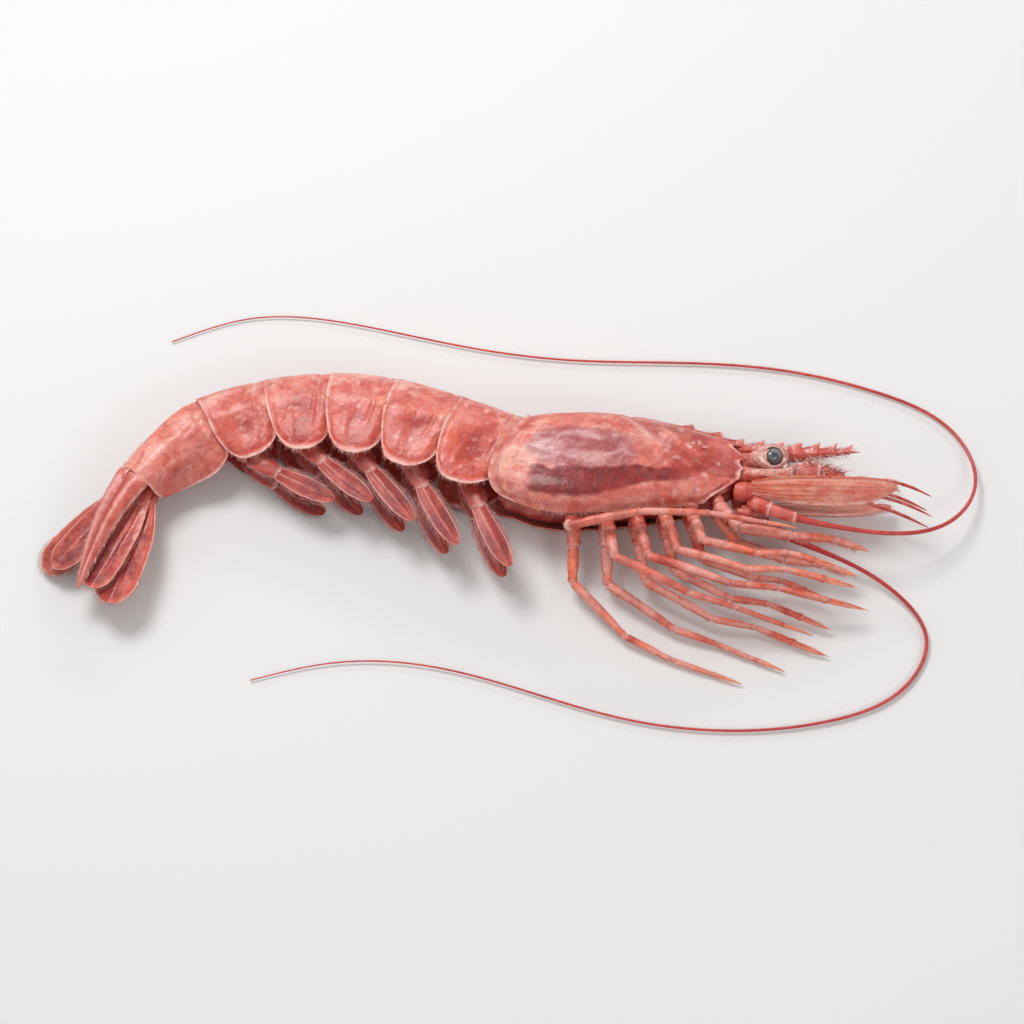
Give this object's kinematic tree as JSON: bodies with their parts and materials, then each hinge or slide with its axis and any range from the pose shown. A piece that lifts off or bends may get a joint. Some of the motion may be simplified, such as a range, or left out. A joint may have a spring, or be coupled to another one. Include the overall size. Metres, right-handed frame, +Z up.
{
  "type": "raw shrimp",
  "caption": "Whole raw red shrimp with its head on, lying on its side: toothed carapace, overlapping tail plates, tail fan, stalked eyes, jointed legs and long feelers.",
  "frame": {"origin": "middle of the whole object's box in plan, on the surface it lies on", "axes": "+X from the tail to the head, +Y towards the animal's back, +Z up, out of its right side"},
  "size_m": [0.2132, 0.0936, 0.0217],
  "materials": {
    "shell": "wet glossy pink-red shell, mottled, with paler rims",
    "limb_shell": "wet pale orange-pink shell with whitish joints",
    "soft_parts": "wet translucent pink-red skin and thin blades",
    "feeler": "fine ringed red feelers, slightly glossy",
    "eye": "wet black eye with a grey bloom"
  },
  "bodies": {
    "root": {"abdomen_1": "shell", "abdomen_2": "shell", "abdomen_3": "shell", "abdomen_4": "shell", "abdomen_5": "shell", "abdomen_6": "shell", "antenna_left": "feeler", "antenna_right": "feeler", "antennal_base_left": "limb_shell", "antennal_base_right": "limb_shell", "antennal_scale_left": "limb_shell", "antennal_scale_right": "limb_shell", "antennule_left": "soft_parts", "antennule_lower_left": "soft_parts", "antennule_lower_right": "soft_parts", "antennule_right": "soft_parts", "carapace": "shell", "eye_left": "eye", "eye_right": "eye", "eyestalk_left": "soft_parts", "eyestalk_right": "soft_parts", "leg_1_left": "limb_shell", "leg_1_right": "limb_shell", "leg_2_left": "limb_shell", "leg_2_right": "limb_shell", "leg_3_left": "limb_shell", "leg_3_right": "limb_shell", "leg_4_left": "limb_shell", "leg_4_right": "limb_shell", "leg_5_left": "limb_shell", "leg_5_right": "limb_shell", "maxilliped_left": "limb_shell", "maxilliped_right": "limb_shell", "mouthparts": "soft_parts", "swimmeret_1_left": "soft_parts", "swimmeret_1_right": "soft_parts", "swimmeret_2_left": "soft_parts", "swimmeret_2_right": "soft_parts", "swimmeret_3_left": "soft_parts", "swimmeret_3_right": "soft_parts", "swimmeret_4_left": "soft_parts", "swimmeret_4_right": "soft_parts", "swimmeret_5_left": "soft_parts", "swimmeret_5_right": "soft_parts", "telson": "shell", "uropod_inner_left": "shell", "uropod_inner_right": "shell", "uropod_outer_left": "shell", "uropod_outer_right": "shell"}
  },
  "joints": []
}
